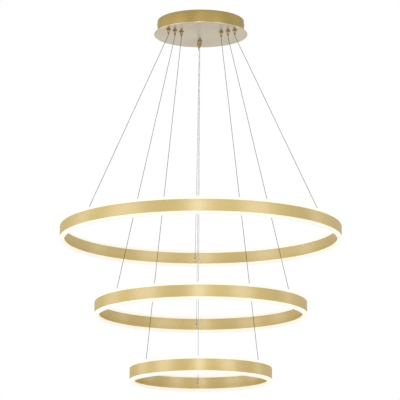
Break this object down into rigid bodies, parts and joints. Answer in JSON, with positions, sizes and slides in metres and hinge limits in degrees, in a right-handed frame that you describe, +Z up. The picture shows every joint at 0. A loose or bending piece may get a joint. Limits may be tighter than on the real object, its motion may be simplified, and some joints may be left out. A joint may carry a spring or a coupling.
{
  "type": "led ring chandelier",
  "caption": "Ceiling chandelier of stepped LED rings in brushed gold, hung level on thin steel cables from a round canopy, with cable grippers that set each ring's height.",
  "frame": {"origin": "on the ceiling, at the middle between the two screw slots of the ceiling bracket", "axes": "+Z up into the ceiling, the rings hang below in -Z; +Y towards the three feed cables"},
  "size_m": [0.7999, 0.8, 1.0515],
  "materials": {
    "band_gold": "brushed, champagne gold anodised",
    "canopy_gold": "satin champagne gold lacquer on steel",
    "canopy_satin": "fine satin gold, slightly mirror-like",
    "zinc_steel": "zinc plated",
    "fastener_gold": "brass plated, slightly domed heads",
    "gripper_brass": "turned, dark brass",
    "release_dark": "turned, oxidised brass",
    "rope_steel": "stranded steel rope",
    "feed_jacket": "clear jacket over a thin tinned cable",
    "opal_diffuser": "opal, warm white light",
    "led_strip": "white strip with LEDs",
    "driver_case": "moulded, plain",
    "terminal_plastic": "moulded"
  },
  "bodies": {
    "canopy": {"ceiling_bracket": "zinc_steel", "canopy_drum": "canopy_gold", "canopy_plate": "canopy_satin", "plate_nuts": "zinc_steel", "side_screws": "fastener_gold", "led_driver_1": "driver_case", "led_driver_2": "driver_case", "terminal_block": "terminal_plastic", "gripper_barrels": "gripper_brass", "gripper_lock_nuts": "gripper_brass", "ring_1_left_cable": "rope_steel", "ring_1_right_cable": "rope_steel", "ring_1_feed_cable": "feed_jacket", "ring_2_left_cable": "rope_steel", "ring_2_right_cable": "rope_steel", "ring_2_feed_cable": "feed_jacket", "ring_3_left_cable": "rope_steel", "ring_3_right_cable": "rope_steel", "ring_3_feed_cable": "feed_jacket"},
    "ring_1": {"ring_1_band": "band_gold", "ring_1_upper_diffuser": "opal_diffuser", "ring_1_lower_diffuser": "opal_diffuser", "ring_1_upper_led_strip": "led_strip", "ring_1_lower_led_strip": "led_strip", "ring_1_cable_anchors": "gripper_brass", "ring_1_cable_stops": "gripper_brass"},
    "ring_1_left_release": {"ring_1_left_release": "release_dark"},
    "ring_1_right_release": {"ring_1_right_release": "release_dark"},
    "ring_1_back_release": {"ring_1_back_release": "release_dark"},
    "ring_2": {"ring_2_band": "band_gold", "ring_2_upper_diffuser": "opal_diffuser", "ring_2_lower_diffuser": "opal_diffuser", "ring_2_upper_led_strip": "led_strip", "ring_2_lower_led_strip": "led_strip", "ring_2_cable_anchors": "gripper_brass", "ring_2_cable_stops": "gripper_brass"},
    "ring_2_left_release": {"ring_2_left_release": "release_dark"},
    "ring_2_right_release": {"ring_2_right_release": "release_dark"},
    "ring_2_back_release": {"ring_2_back_release": "release_dark"},
    "ring_3": {"ring_3_band": "band_gold", "ring_3_upper_diffuser": "opal_diffuser", "ring_3_lower_diffuser": "opal_diffuser", "ring_3_upper_led_strip": "led_strip", "ring_3_lower_led_strip": "led_strip", "ring_3_cable_anchors": "gripper_brass", "ring_3_cable_stops": "gripper_brass"},
    "ring_3_left_release": {"ring_3_left_release": "release_dark"},
    "ring_3_right_release": {"ring_3_right_release": "release_dark"},
    "ring_3_back_release": {"ring_3_back_release": "release_dark"}
  },
  "joints": [
    {"name": "ring_1_height", "type": "slide", "parent": "canopy", "child": "ring_1", "axis": [0, 0, 1], "range_m": [0, 0.3], "deforming": ["ring_1_left_cable", "ring_1_right_cable", "ring_1_feed_cable"]},
    {"name": "ring_2_height", "type": "slide", "parent": "canopy", "child": "ring_2", "axis": [0, 0, 1], "range_m": [0, 0.3], "deforming": ["ring_2_left_cable", "ring_2_right_cable", "ring_2_feed_cable"]},
    {"name": "ring_3_height", "type": "slide", "parent": "canopy", "child": "ring_3", "axis": [0, 0, 1], "range_m": [0, 0.3], "deforming": ["ring_3_left_cable", "ring_3_right_cable", "ring_3_feed_cable"]},
    {"name": "ring_1_left_release", "type": "slide", "parent": "canopy", "child": "ring_1_left_release", "axis": [0, 0, 1], "range_m": [0, 0.0025], "stiffness_N_per_m": 400, "springref_m": -0.002},
    {"name": "ring_1_right_release", "type": "slide", "parent": "canopy", "child": "ring_1_right_release", "axis": [0, 0, 1], "range_m": [0, 0.0025], "stiffness_N_per_m": 400, "springref_m": -0.002},
    {"name": "ring_1_back_release", "type": "slide", "parent": "canopy", "child": "ring_1_back_release", "axis": [0, 0, 1], "range_m": [0, 0.0025], "stiffness_N_per_m": 400, "springref_m": -0.002},
    {"name": "ring_2_left_release", "type": "slide", "parent": "canopy", "child": "ring_2_left_release", "axis": [0, 0, 1], "range_m": [0, 0.0025], "stiffness_N_per_m": 400, "springref_m": -0.002},
    {"name": "ring_2_right_release", "type": "slide", "parent": "canopy", "child": "ring_2_right_release", "axis": [0, 0, 1], "range_m": [0, 0.0025], "stiffness_N_per_m": 400, "springref_m": -0.002},
    {"name": "ring_2_back_release", "type": "slide", "parent": "canopy", "child": "ring_2_back_release", "axis": [0, 0, 1], "range_m": [0, 0.0025], "stiffness_N_per_m": 400, "springref_m": -0.002},
    {"name": "ring_3_left_release", "type": "slide", "parent": "canopy", "child": "ring_3_left_release", "axis": [0, 0, 1], "range_m": [0, 0.0025], "stiffness_N_per_m": 400, "springref_m": -0.002},
    {"name": "ring_3_right_release", "type": "slide", "parent": "canopy", "child": "ring_3_right_release", "axis": [0, 0, 1], "range_m": [0, 0.0025], "stiffness_N_per_m": 400, "springref_m": -0.002},
    {"name": "ring_3_back_release", "type": "slide", "parent": "canopy", "child": "ring_3_back_release", "axis": [0, 0, 1], "range_m": [0, 0.0025], "stiffness_N_per_m": 400, "springref_m": -0.002}
  ]
}
